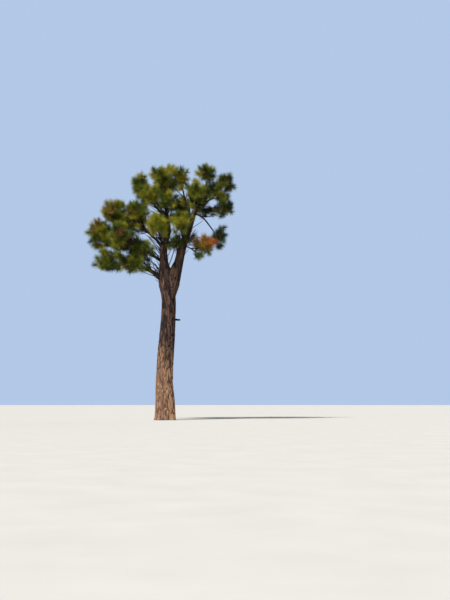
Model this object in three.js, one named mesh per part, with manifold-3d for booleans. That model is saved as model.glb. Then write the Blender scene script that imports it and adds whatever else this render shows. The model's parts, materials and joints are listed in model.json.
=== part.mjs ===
import * as THREE from "three";
import { mergeVertices } from "three/addons/utils/BufferGeometryUtils.js";
import Module from "manifold-3d";

// A lone mountain pine with long needles. Its bare trunk forks half way up into two leaders, and tapering
// boughs leave them and end in open masses of foliage: twigs that branch from one stem, each tipped with a
// brush of needles. Sizes are millimetres and +Z is up. The origin is the middle of the flat cut under the
// trunk, and -Y is the front.

const wasm = await Module();
wasm.setup();

const UP = new THREE.Vector3(0, 0, 1);
const TO_BACK = new THREE.Vector3(0, 1, 0);
const CLEARANCE = 0.3;
const GOLDEN_ANGLE = Math.PI * (3 - Math.sqrt(5));

// The trunk with the left leader that it runs on into, and the right leader, whose foot is inside the fork.
// Each station is height, lean towards +X, lean towards +Y, radius.
const TRUNK = [
  [0, 0, 0, 254],
  [120, 0, 0, 240],
  [450, -12, 0, 226],
  [830, -33, 0, 205],
  [1250, -24, 0, 197],
  [1660, -3, 0, 197],
  [2030, 25, 0, 188],
  [2440, 46, 0, 173],
  [2800, 56, 0, 170],
  [3040, 40, 0, 176],
  [3240, -18, 0, 150],
  [3480, -62, 5, 118],
  [3800, -74, 20, 91],
  [4100, -80, 30, 74],
  [4350, -26, 25, 62],
  [4570, 34, 10, 53],
  [4820, 18, -10, 46],
  [5070, -26, -20, 40],
  [5350, -48, -20, 33],
  [5600, -50, -20, 25],
];
const RIGHT_LEADER = [
  [2870, 72, 0, 112],
  [3090, 120, 0, 132],
  [3265, 166, -5, 127],
  [3480, 220, -15, 113],
  [3800, 296, -40, 96],
  [4100, 366, -70, 88],
  [4350, 446, -90, 76],
  [4550, 528, -100, 64],
  [4720, 588, -100, 55],
  [4970, 662, -90, 49],
  [5170, 722, -70, 44],
  [5370, 812, -45, 34],
  [5570, 915, -20, 27],
  [5780, 965, 0, 21],
];
const ROOT_FLARE = { lobes: 5, turn: 0.4, share: 0.08, fade: 300 };

// Masses of foliage: where the heart of each is, how far it reaches along X, Y and Z, the seed of its
// twigs, and its bough. A bough has its parent, the height or the share of the parent that it leaves at,
// how steeply it climbs there and at its tip, in degrees, and its radius at the root. A mass whose bough is
// "tip" crowns that stem instead, and one whose bough is "side" has its twigs' stem leave the trunk itself.
const MASSES = [
  { name: "outer_low_left", heart: [-1480, -130, 3775], reach: [350, 330, 250], seed: 5,
    bough: { from: "trunk", height: 3180, climb: [64, 4], radius: 60 } },
  { name: "low_left", heart: [-800, -350, 3715], reach: [400, 340, 245], seed: 7,
    bough: { from: "outer_low_left_bough", share: 0.34, climb: [20, -12], radius: 26 } },
  { name: "outer_left", heart: [-1615, 0, 4480], reach: [380, 390, 420], seed: 3,
    bough: { from: "trunk", height: 3800, climb: [32, 14], radius: 35 } },
  { name: "mid_left", heart: [-870, 420, 4290], reach: [400, 370, 330], seed: 4,
    bough: { from: "outer_left_bough", share: 0.34, climb: [10, 6], radius: 26 } },
  { name: "left_front", heart: [-1090, -600, 4400], reach: [310, 300, 310], seed: 28,
    bough: { from: "outer_left_bough", share: 0.5, climb: [12, 8], radius: 24 } },
  { name: "back_low_left", heart: [-1290, 980, 4480], reach: [370, 370, 330], seed: 18,
    bough: { from: "outer_left_bough", share: 0.66, climb: [-4, 16], radius: 26 } },
  { name: "upper_left", heart: [-1300, -120, 5030], reach: [360, 380, 380], seed: 18,
    bough: { from: "trunk", height: 4130, climb: [52, 22], radius: 30 } },
  { name: "left_shoulder", heart: [-715, 20, 5050], reach: [360, 350, 330], seed: 15,
    bough: { from: "upper_left_bough", share: 0.42, climb: [50, 72], radius: 25 } },
  { name: "back_left", heart: [-1080, 880, 5020], reach: [360, 350, 320], seed: 12,
    bough: { from: "upper_left_bough", share: 0.3, climb: [30, 24], radius: 28 } },
  { name: "centre_left", heart: [-200, -600, 4600], reach: [290, 300, 320], seed: 28,
    bough: { from: "trunk", height: 4180, climb: [26, 40], radius: 26 } },
  { name: "back_centre", heart: [-240, 1050, 5040], reach: [330, 340, 310], seed: 28,
    bough: { from: "trunk", height: 4480, climb: [34, 30], radius: 32 } },
  { name: "high_left", heart: [-672, 0, 5740], reach: [290, 310, 350], seed: 22,
    bough: { from: "trunk", height: 4860, climb: [42, 56], radius: 30 } },
  { name: "left_heart", heart: [-372, -420, 5370], reach: [300, 300, 290], seed: 26,
    bough: { from: "trunk", height: 4960, climb: [20, 42], radius: 22 } },
  { name: "heart", heart: [70, -480, 5260], reach: [300, 290, 280], seed: 12,
    bough: { from: "trunk", height: 5060, climb: [8, 24], radius: 21 } },
  { name: "back_top", heart: [-90, 620, 5860], reach: [330, 330, 310], seed: 3,
    bough: { from: "trunk", height: 5220, climb: [36, 48], radius: 22 } },
  { name: "top_left", heart: [-140, -60, 5950], reach: [350, 340, 300], seed: 12,
    bough: { from: "tip", stem: "trunk" } },
  { name: "inner_left", heart: [-550, -250, 4100], reach: [330, 300, 300], seed: 22,
    bough: { from: "side", stem: "trunk", height: 3520, climb: 46 } },
  { name: "fork_spray", heart: [215, -80, 4280], reach: [220, 270, 250], seed: 62,
    bough: { from: "side", stem: "trunk", height: 3430, climb: 72 } },
  { name: "centre_right", heart: [335, -520, 4680], reach: [290, 300, 310], seed: 16,
    bough: { from: "right_leader", height: 4250, climb: [30, 44], radius: 25 } },
  { name: "top_right", heart: [335, 30, 5920], reach: [265, 300, 330], seed: 29,
    bough: { from: "right_leader", height: 5130, climb: [2, 82], radius: 28 } },
  { name: "back_mid", heart: [310, 1080, 5420], reach: [350, 370, 340], seed: 10,
    bough: { from: "right_leader", height: 4620, climb: [42, 34], radius: 30 } },
  { name: "right_inner", heart: [735, -420, 5470], reach: [280, 290, 290], seed: 6,
    bough: { from: "right_leader", height: 5140, climb: [20, 44], radius: 21 } },
  { name: "back_right", heart: [760, 700, 5600], reach: [340, 350, 320], seed: 22,
    bough: { from: "right_leader", height: 5000, climb: [44, 32], radius: 26 } },
  { name: "right_top", heart: [925, -10, 6050], reach: [300, 290, 260], seed: 9,
    bough: { from: "tip", stem: "right_leader" } },
  { name: "right_mid", heart: [1180, 380, 5660], reach: [270, 280, 270], seed: 7,
    bough: { from: "right_leader", height: 5330, climb: [26, 28], radius: 19 } },
  { name: "right_outer_top", heart: [1465, -20, 5790], reach: [270, 280, 300], seed: 20,
    bough: { from: "right_leader", height: 5240, climb: [4, 50], radius: 24 } },
  { name: "right_outer", heart: [1380, 60, 5160], reach: [330, 300, 240], seed: 10,
    bough: { from: "right_leader", height: 5060, climb: [8, 2], radius: 25 } },
  { name: "right_low_outer", heart: [1240, -20, 4440], reach: [240, 260, 370], seed: 9,
    bough: { from: "right_leader", height: 4980, climb: [-10, -50], radius: 21 } },
  { name: "right_low_inner", heart: [905, -180, 4210], reach: [300, 270, 290], seed: 19,
    bough: { from: "right_leader", height: 4330, climb: [16, -16], radius: 21 } },
  { name: "low_spray", heart: [765, -200, 3955], reach: [150, 160, 150], seed: 66,
    bough: { from: "right_leader", height: 4200, climb: [-20, -42], radius: 15 } },
];

// Boughs: a cubic curve whose ends run straight for a share of its span, up to a share of its mass's reach.
const BOUGH = { tip: 15, sides: 5, segments: 5, firstReach: 0.4, lastReach: 0.35, entry: 0.62 };

// Twigs inside a mass: radii at root and tip, rings, and the shares of each straight run that a later twig
// may leave.
const STEM = { root: 13, tip: 9, rings: 3 };
const TWIG = { root: 5, tip: 6, rings: 1 };
const TWIG_SIDES = 3;
const FORKS = [0.25, 0.5, 0.75];
const FORK_SCATTER = 0.1;
const SHORTEST_TWIG = 120;

// One brush: its core's rings, each a distance along it and a radius, and the pointed sprays that its faces
// are drawn out into, which lean from the way of the twig by an angle that grows from the front of the core
// to the back.
const CORE = [[-60, 8], [-22, 43], [26, 39], [60, 0]];
const NEEDLES = { length: 180, shortest: 0.86, longest: 1.06, frontLean: 24, leanGrowth: 62, scatter: 8,
  trims: [1, 0.8, 0.6, 0.45] };
const BRUSH_REACH = 110;
const BRUSH_AHEAD = 40;
const BRUSH_SPACING = 180;
const BRUSH_TRIES = 60;

// Slivers thinner than this are smoothed away after solids are joined or cut.
const SLIVER = 0.05;

// Gaps that are kept between spaces and from wood, and how thick a spray counts at its base, middle and
// tip.
const SPACE_GAP = 3;
const WOOD_GAP = 3;
const SPRAY_RADII = [28, 14, 4];

// Dead wood: where it leaves its stem, which way it points, its length from the stem's middle line, and its
// radii.
const DEAD_STUB = { stem: "trunk", height: 2400, heading: 4, climb: -2, length: 290, radii: [34, 20] };
const BARE_TWIG = { stem: "right_leader", height: 4560, heading: -8, climb: 34, length: 400, radii: [9, 5] };

const vector = ([x, y, z]) => new THREE.Vector3(x, y, z);
const radians = THREE.MathUtils.degToRad;
const mix = THREE.MathUtils.lerp;

// A repeatable run of numbers from 0 to 1, by a linear congruential rule.
function seeded(seed) {
  let state = Math.imul(seed, 2654435761) >>> 0;
  return () => {
    state = (Math.imul(state, 1664525) + 1013904223) >>> 0;
    return state / 4294967296;
  };
}

// A closed solid from corners and the faces between them, with corners in one place merged.
function solidOf(positions, faces) {
  const shape = new THREE.BufferGeometry();
  shape.setAttribute("position", new THREE.BufferAttribute(new Float32Array(positions), 3));
  shape.setIndex(faces);
  const merged = mergeVertices(shape, 1e-3);
  return new wasm.Manifold(
    new wasm.Mesh({
      numProp: 3,
      vertProperties: merged.attributes.position.array,
      triVerts: new Uint32Array(merged.index.array),
    }),
  );
}

// The biggest body of a solid, without loose scraps, sealed hollows or slivers.
function wholeOf(solid) {
  const biggest = solid.decompose().reduce((a, b) => (b.volume() > a.volume() ? b : a));
  return biggest.simplify(SLIVER);
}

// A capped cylinder of unit radius whose rings are carried to places along a path. Each place has a point,
// the way that the path runs there, a radius, and how much the root flare swells it. Returns corners, rows
// and faces.
function sweptForm(places, side, sides) {
  const form = new THREE.CylinderGeometry(1, 1, 1, sides, places.length - 1);
  const unit = form.attributes.position;
  const corners = [];
  const rows = [];
  for (let i = 0; i < unit.count; i++) {
    const row = Math.round((unit.getY(i) + 0.5) * (places.length - 1));
    const { point, along, radius, swell = 0 } = places[row];
    const angle = Math.atan2(unit.getZ(i), unit.getX(i));
    const lobed = 1 + swell * Math.cos(ROOT_FLARE.lobes * (angle + ROOT_FLARE.turn));
    const out = Math.hypot(unit.getX(i), unit.getZ(i)) * radius * lobed;
    const square = new THREE.Vector3().crossVectors(side, along).normalize();
    const level = new THREE.Vector3().crossVectors(along, square);
    const corner = point.clone().addScaledVector(level, out * Math.cos(angle));
    corners.push(corner.addScaledVector(square, out * Math.sin(angle)));
    rows.push(row);
  }
  return { corners, rows, faces: Array.from(form.index.array) };
}

// Even places along a curve, with the radius and the swelling there.
function placesAlong(curve, segments, radiusAt, swellAt = () => 0) {
  return Array.from({ length: segments + 1 }, (_, i) => {
    const share = i / segments;
    const point = curve.getPoint(share);
    return { point, along: curve.getTangent(share), radius: radiusAt(share), swell: swellAt(point.z) };
  });
}

// A limb has its curve, the places of its rings, the direction square to the plane that it bends in, and
// its sides.
function limbSolid({ places, side, sides }, grow = 0) {
  const grown = places.map((place) => ({ ...place, radius: place.radius + grow }));
  const { corners, faces } = sweptForm(grown, side, sides);
  return solidOf(corners.flatMap((corner) => corner.toArray()), faces);
}

// The trunk or a leader, through its stations.
function stemThrough(stations, sides, segments) {
  const points = stations.map(([height, x, y]) => new THREE.Vector3(x, y, height));
  const curve = new THREE.CatmullRomCurve3(points, false, "catmullrom", 0.5);
  const last = stations.length - 1;
  const radiusAt = (share) => {
    const at = Math.min(Math.floor(share * last), last - 1);
    return mix(stations[at][3], stations[at + 1][3], share * last - at);
  };
  const swellAt = (height) => ROOT_FLARE.share * Math.exp(-height / ROOT_FLARE.fade);
  const shareAt = (height) => {
    const at = stations.findIndex((_, i) => i === last - 1 || stations[i + 1][0] >= height);
    return (at + (height - stations[at][0]) / (stations[at + 1][0] - stations[at][0])) / last;
  };
  return { curve, places: placesAlong(curve, segments, radiusAt, swellAt), side: TO_BACK, sides, shareAt };
}

// How far a mass reaches from its heart in one direction.
const reachAlong = ({ reach }, way) => 1 / way.clone().divide(vector(reach)).length();

// A bough: one cubic curve in the upright plane from its parent to the edge of its mass.
function boughTo(mass, parent) {
  const { share, height, climb, radius } = mass.bough;
  const heart = vector(mass.heart);
  const root = parent.curve.getPoint(share ?? parent.shareAt(height));
  const heading = heart.clone().sub(root).setZ(0).normalize();
  const [first, last] = climb.map((angle) =>
    heading.clone().multiplyScalar(Math.cos(radians(angle))).addScaledVector(UP, Math.sin(radians(angle))),
  );
  const tip = heart.clone().addScaledVector(last, -BOUGH.entry * reachAlong(mass, last));
  const span = tip.distanceTo(root);
  const curve = new THREE.CubicBezierCurve3(
    root,
    root.clone().addScaledVector(first, span * BOUGH.firstReach),
    tip.clone().addScaledVector(last, -span * BOUGH.lastReach),
    tip,
  );
  return {
    curve,
    places: placesAlong(curve, BOUGH.segments, (along) => mix(radius, BOUGH.tip, along)),
    side: new THREE.Vector3().crossVectors(heading, UP),
    sides: BOUGH.sides,
  };
}

// A straight piece of dead wood, from the middle line of its stem.
function deadPiece({ height, heading, climb, length, radii }, stem) {
  const flat = new THREE.Vector3(Math.cos(radians(heading)), Math.sin(radians(heading)), 0);
  const way = flat.multiplyScalar(Math.cos(radians(climb))).addScaledVector(UP, Math.sin(radians(climb)));
  const root = stem.curve.getPoint(stem.shareAt(height));
  const curve = new THREE.LineCurve3(root, root.clone().addScaledVector(way, length));
  const side = new THREE.Vector3().crossVectors(way, UP).normalize();
  return { curve, places: placesAlong(curve, 1, (along) => mix(radii[0], radii[1], along)), side, sides: 6 };
}

// The places of a shoot: its twig, which leaves its root in one direction, and then its brush's core.
function shootTo(root, leaving, { place, axis }, form) {
  const end = place.clone().addScaledVector(axis, -BRUSH_AHEAD);
  const core = CORE.map(([ahead, radius]) => {
    return { point: end.clone().addScaledVector(axis, ahead), along: axis, radius };
  });
  const pull = 0.35 * core[0].point.distanceTo(root);
  const first = root.clone().addScaledVector(leaving, pull);
  const last = core[0].point.clone().addScaledVector(axis, -pull);
  const curve = new THREE.CubicBezierCurve3(root, first, last, core[0].point);
  const twig = placesAlong(curve, form.rings, (share) => mix(form.root, form.tip, share));
  return [...twig.slice(0, -1), ...core];
}

// The brushes of a mass: the middle and the axis of each. Places are tried evenly all round the heart by
// the golden angle, the first one straight on from the bough's tip, and are kept where they are far enough
// from those before.
function brushesOf(mass, arrival) {
  const random = seeded(mass.seed);
  const heart = vector(mass.heart);
  const out = arrival.clone().addScaledVector(UP, 0.7).normalize();
  const sideways = new THREE.Vector3().crossVectors(out, UP).normalize();
  const across = new THREE.Vector3().crossVectors(sideways, out);
  const shell = vector(mass.reach.map((r) => Math.max(r - BRUSH_REACH, 0)));
  const turn = random() * 2 * Math.PI;
  const brushes = [];
  for (let k = 0; k < BRUSH_TRIES; k++) {
    const rise = 1 - (2 * k) / BRUSH_TRIES;
    const round = turn + k * GOLDEN_ANGLE;
    const flat = Math.sqrt(1 - rise * rise);
    const way = out.clone().multiplyScalar(rise);
    way.addScaledVector(sideways, flat * Math.cos(round)).addScaledVector(across, flat * Math.sin(round));
    const place = heart.clone().addScaledVector(shell.clone().multiply(way), mix(0.7, 1.05, random()));
    const axis = way.clone().multiplyScalar(0.8).addScaledVector(UP, 0.5).normalize();
    const spaced = brushes.every((other) => other.place.distanceTo(place) > BRUSH_SPACING);
    if (spaced) brushes.push({ place, axis, random: seeded(1 + Math.floor(random() * 1e6)) });
  }
  return brushes;
}

// Half-spaces that keep a mass clear of the others: one plane between each two hearts, placed by how far
// both reach.
function spaceOf(mass) {
  const heart = vector(mass.heart);
  return MASSES.filter((other) => other !== mass).map((other) => {
    const way = vector(other.heart).sub(heart).normalize();
    const far = heart.distanceTo(vector(other.heart));
    const own = reachAlong(mass, way);
    return { way, edge: way.dot(heart) + (far * own) / (own + reachAlong(other, way)) - SPACE_GAP };
  });
}
const inside = (space, point) => space.every(({ way, edge }) => way.dot(point) < edge);

// Whether a straight rod from one point to another stays off every track of places.
function clearOf(tracks, from, to, radius) {
  const long = from.distanceTo(to);
  const rod = new THREE.Ray(from, to.clone().sub(from).divideScalar(long));
  const onRod = new THREE.Vector3();
  const onTrack = new THREE.Vector3();
  const segment = new THREE.Line3();
  return tracks.every((track) =>
    track.slice(1).every((end, i) => {
      const start = track[i];
      const room = Math.max(start.radius, end.radius) + radius + WOOD_GAP;
      if (start.point.distanceTo(from) > long + room + start.point.distanceTo(end.point)) return true;
      rod.distanceSqToSegment(start.point, end.point, onRod, onTrack);
      rod.at(Math.min(onRod.distanceTo(from), long), onRod);
      segment.set(start.point, end.point).closestPointToPoint(onRod, true, onTrack);
      return onRod.distanceTo(onTrack) > room;
    }),
  );
}

// Whether a shoot stays in its mass's space, off the limbs and, beyond the middle of its twig, off the
// other shoots.
function fits(places, space, limbTracks, others) {
  const forked = places[0].point.clone().lerp(places[1].point, 0.5);
  return (
    places.every(({ point }) => inside(space, point)) &&
    places.slice(1).every(({ point, radius }, i) => {
      const from = places[i].point;
      const thick = Math.max(radius, places[i].radius);
      const free = i === 0 ? forked : from;
      return clearOf(limbTracks, from, point, thick) && clearOf(others, free, point, thick);
    })
  );
}

// The shoots of a mass. The first is its stem, and each later twig leaves the nearest of the ones before it
// that it can reach its place from. A brush that none can reach is left out.
function shootsOf(mass, start, arrival, space, limbTracks) {
  const [first, ...later] = brushesOf(mass, arrival);
  const shoots = [{ ...first, places: shootTo(start, arrival, first, STEM) }];
  for (const brush of later) {
    const scatter = FORK_SCATTER * (2 * brush.random() - 1);
    const far = (root) => Math.abs(root.distanceTo(brush.place) - SHORTEST_TWIG);
    const others = shoots.map(({ places }) => places);
    const twigRuns = others.flatMap((places) => {
      return places.slice(1, 1 - CORE.length).map((end, i) => [places[i], end]);
    });
    const forks = twigRuns.flatMap(([from, to]) =>
      FORKS.map((share) => from.point.clone().lerp(to.point, share + scatter)),
    );
    forks.sort((a, b) => far(a) - far(b));
    const places = forks
      .map((root) => shootTo(root, brush.place.clone().sub(root).normalize(), brush, TWIG))
      .find((candidate) => fits(candidate, space, limbTracks, others));
    if (places) shoots.push({ ...brush, places });
  }
  return shoots;
}

// The point of the spray that stands on one face of a core: full length, shortened, or none.
function sprayPoint(base, middle, axis, random, allowed) {
  const from = base.clone().sub(middle);
  const backwards = (1 - from.dot(axis) / CORE[CORE.length - 1][0]) / 2;
  const scatter = NEEDLES.scatter * (2 * random() - 1);
  const lean = radians(NEEDLES.frontLean + NEEDLES.leanGrowth * backwards + scatter);
  const outwards = from.projectOnPlane(axis).normalize();
  const way = outwards.multiplyScalar(Math.sin(lean)).addScaledVector(axis, Math.cos(lean));
  const long = NEEDLES.length * mix(NEEDLES.shortest, NEEDLES.longest, random());
  const tips = NEEDLES.trims.map((share) => base.clone().addScaledVector(way, share * long));
  return tips.find((tip) => allowed(base, tip));
}

// A twig that ends in its brush. Each face of the brush's core is drawn out to a point where there is room
// for one.
function shootSolid({ places, place, axis, random }, allowed) {
  const middle = place.clone().addScaledVector(axis, -BRUSH_AHEAD);
  const side = new THREE.Vector3().crossVectors(axis, Math.abs(axis.z) > 0.9 ? TO_BACK : UP).normalize();
  const { corners, rows, faces } = sweptForm(places, side, TWIG_SIDES);
  const drawn = [];
  for (let i = 0; i < faces.length; i += 3) {
    const [a, b, c] = faces.slice(i, i + 3);
    const triangle = new THREE.Triangle(corners[a], corners[b], corners[c]);
    if (triangle.getArea() < 1) continue;
    const onCore = Math.min(rows[a], rows[b], rows[c]) >= places.length - CORE.length;
    const base = triangle.getMidpoint(new THREE.Vector3());
    const point = onCore ? sprayPoint(base, middle, axis, random, allowed) : undefined;
    if (point) {
      const tip = corners.push(point) - 1;
      drawn.push(a, b, tip, b, c, tip, c, a, tip);
    } else {
      drawn.push(a, b, c);
    }
  }
  return solidOf(corners.flatMap((corner) => corner.toArray()), drawn);
}

// Where the stem of a mass starts and which way it leaves: straight on from the tip of its limb, or from
// the middle line of the trunk up towards its heart.
function startOf(mass, limb) {
  if (mass.bough.from === "side") {
    const start = limb.curve.getPoint(limb.shareAt(mass.bough.height));
    const climb = radians(mass.bough.climb);
    const heading = vector(mass.heart).sub(start).setZ(0).normalize();
    return { start, arrival: heading.multiplyScalar(Math.cos(climb)).addScaledVector(UP, Math.sin(climb)) };
  }
  const arrival = limb.curve.getTangent(1);
  return { start: limb.curve.getPoint(1).addScaledVector(arrival, CLEARANCE), arrival };
}

// One mass of foliage, its shoots fused. A spray keeps to its mass's space, off the wood and off every
// other brush.
function massSolid(mass, { start, arrival }, limbTracks) {
  const space = spaceOf(mass);
  const shoots = shootsOf(mass, start, arrival, space, limbTracks);
  const sprays = [];
  const solids = shoots.map((shoot) => {
    const others = shoots.filter((other) => other !== shoot).map(({ places }) => places);
    const taken = [...limbTracks, ...others, ...sprays];
    return shootSolid(shoot, (base, tip) => {
      const free = inside(space, tip) && clearOf(taken, base, tip, SPRAY_RADII[1]);
      const points = [base, base.clone().lerp(tip, 0.5), tip];
      if (free) sprays.push(points.map((point, i) => ({ point, radius: SPRAY_RADII[i] })));
      return free;
    });
  });
  return wasm.Manifold.union(solids);
}

const bark = new THREE.MeshStandardMaterial({ color: 0x6b4a3a, roughness: 0.95, metalness: 0 });
const deadWood = new THREE.MeshStandardMaterial({ color: 0x4b3c34, roughness: 0.95, metalness: 0 });
const needles = new THREE.MeshStandardMaterial({ color: 0x6a7a26, roughness: 0.6, metalness: 0 });

const pine = new THREE.Group();
function add(name, solid, material) {
  const { vertProperties, triVerts } = solid.getMesh();
  const geometry = new THREE.BufferGeometry();
  geometry.setAttribute("position", new THREE.BufferAttribute(vertProperties, 3));
  geometry.setIndex(new THREE.BufferAttribute(triVerts, 1));
  geometry.computeVertexNormals();
  const mesh = new THREE.Mesh(geometry, material);
  mesh.name = name;
  pine.add(mesh);
}

const limbs = { trunk: stemThrough(TRUNK, 14, 17), right_leader: stemThrough(RIGHT_LEADER, 9, 11) };
for (const mass of MASSES) {
  if (!mass.bough.stem) limbs[`${mass.name}_bough`] = boughTo(mass, limbs[mass.bough.from]);
}
limbs.dead_stub = deadPiece(DEAD_STUB, limbs[DEAD_STUB.stem]);
limbs.bare_twig = deadPiece(BARE_TWIG, limbs[BARE_TWIG.stem]);

// Each limb is cut clear of the ones before it, so of the one that it grows from too.
const before = [];
for (const [name, limb] of Object.entries(limbs)) {
  const cut = before.reduce((solid, other) => solid.subtract(limbSolid(other, CLEARANCE)), limbSolid(limb));
  add(name, wholeOf(cut), ["dead_stub", "bare_twig"].includes(name) ? deadWood : bark);
  before.push(limb);
}

const limbTracks = Object.values(limbs).map(({ places }) => places);
for (const mass of MASSES) {
  const limb = limbs[mass.bough.stem ?? `${mass.name}_bough`];
  const fused = massSolid(mass, startOf(mass, limb), limbTracks);
  const free = mass.bough.from === "side" ? fused.subtract(limbSolid(limb, CLEARANCE)) : fused;
  add(`${mass.name}_foliage`, wholeOf(free), needles);
}

export default pine;
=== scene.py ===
"""A lone mountain pine with long needles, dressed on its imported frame.

Blender works in metres with +Z up, and sizes here are written in millimetres where nothing else is said. The
front of the tree is -Y, and the origin is the middle of the flat cut under its trunk. Limbs and masses of
foliage follow the same rule as the solids, and are carried on here to bark, finer twigs and single needles.
"""

import json
import math
from collections import namedtuple

import bpy
import numpy as np
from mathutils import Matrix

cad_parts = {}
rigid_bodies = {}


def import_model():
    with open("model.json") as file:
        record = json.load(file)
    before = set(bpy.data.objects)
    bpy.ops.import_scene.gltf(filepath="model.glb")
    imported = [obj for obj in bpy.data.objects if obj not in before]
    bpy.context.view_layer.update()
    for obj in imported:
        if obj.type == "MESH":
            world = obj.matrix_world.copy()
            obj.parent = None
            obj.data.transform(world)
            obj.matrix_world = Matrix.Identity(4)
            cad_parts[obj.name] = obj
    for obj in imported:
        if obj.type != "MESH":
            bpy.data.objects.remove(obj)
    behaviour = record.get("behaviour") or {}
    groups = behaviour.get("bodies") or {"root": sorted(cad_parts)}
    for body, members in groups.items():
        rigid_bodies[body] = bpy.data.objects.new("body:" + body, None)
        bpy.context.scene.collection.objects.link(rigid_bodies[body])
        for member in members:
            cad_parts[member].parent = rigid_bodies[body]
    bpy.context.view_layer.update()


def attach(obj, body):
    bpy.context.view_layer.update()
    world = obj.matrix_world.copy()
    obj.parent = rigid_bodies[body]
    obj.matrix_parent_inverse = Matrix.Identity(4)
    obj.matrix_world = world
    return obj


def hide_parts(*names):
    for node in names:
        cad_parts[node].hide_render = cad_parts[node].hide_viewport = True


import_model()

MM = 0.001
UP = np.array([0.0, 0.0, 1.0])
TO_BACK = np.array([0.0, 1.0, 0.0])
GOLDEN_ANGLE = math.pi * (3 - math.sqrt(5))
# A way is steep if this share of its length goes up or down.
STEEP = 0.9

# Camera, in metres: where it stands, how far it looks up, and its lens.
EYE = (1.414, -20.0, 0.4)
LOOKS_UP = math.radians(7.05)
LENS = 50

# The trunk with the left leader that it runs on into, and the right leader, whose foot is inside the fork.
# Each station is height, lean towards +X, lean towards +Y, radius.
TRUNK = [
    [0, 0, 0, 254],
    [120, 0, 0, 240],
    [450, -12, 0, 226],
    [830, -33, 0, 205],
    [1250, -24, 0, 197],
    [1660, -3, 0, 197],
    [2030, 25, 0, 188],
    [2440, 46, 0, 173],
    [2800, 56, 0, 170],
    [3040, 40, 0, 176],
    [3240, -18, 0, 150],
    [3480, -62, 5, 118],
    [3800, -74, 20, 91],
    [4100, -80, 30, 74],
    [4350, -26, 25, 62],
    [4570, 34, 10, 53],
    [4820, 18, -10, 46],
    [5070, -26, -20, 40],
    [5350, -48, -20, 33],
    [5600, -50, -20, 25],
]
RIGHT_LEADER = [
    [2870, 72, 0, 112],
    [3090, 120, 0, 132],
    [3265, 166, -5, 127],
    [3480, 220, -15, 113],
    [3800, 296, -40, 96],
    [4100, 366, -70, 88],
    [4350, 446, -90, 76],
    [4550, 528, -100, 64],
    [4720, 588, -100, 55],
    [4970, 662, -90, 49],
    [5170, 722, -70, 44],
    [5370, 812, -45, 34],
    [5570, 915, -20, 27],
    [5780, 965, 0, 21],
]
ROOT_FLARE = {"lobes": 5, "turn": 0.4, "share": 0.08, "fade": 300}
# The bark is thicker round the fork: by what share, and the heights, in metres, where that starts, is full,
# fades and ends. On the side towards the other stem it bulges further, by a share of its own, and closes the
# bottom of the fork.
FORK_BARK = {"share": 0.14, "heights": (3.0, 3.3, 4.4, 4.9)}
FORK_BULGE = {"share": 0.48, "heights": (3.1, 3.4, 3.56, 3.86)}

# A mass of foliage: its heart, how far it reaches along X, Y and Z, the seed of its twigs, its tone from 0,
# deep green, to 1, yellow green, and its bough. The tone is partly the needles' own and partly painted light:
# masses at the lit upper left and front are yellower as painted sunlight, and those at the right, the back
# and underneath darker as painted shade. A bough has its parent, the height or the share of the parent that
# it leaves at, how steeply it climbs there and at its tip, in degrees, and its radius at the root. Without a
# radius there is no bough: the stem of the mass's twigs crowns the parent, or leaves it at that height.
Mass = namedtuple("Mass", "name heart reach seed tone bough")
Bough = namedtuple("Bough", "parent height share climb radius")


def off_stem(parent, height, climb, radius):
    """A bough that leaves a stem at a height."""
    return Bough(parent, height, None, climb, radius)


def off_bough(parent, share, climb, radius):
    """A bough that leaves another at a share of its length."""
    return Bough(parent, None, share, climb, radius)


def crowning(parent):
    """No bough: the mass stands on the tip of a stem."""
    return Bough(parent, None, None, None, None)


def beside(parent, height, climb):
    """No bough: the mass's own twigs leave a stem at a height."""
    return Bough(parent, height, None, climb, None)


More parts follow.
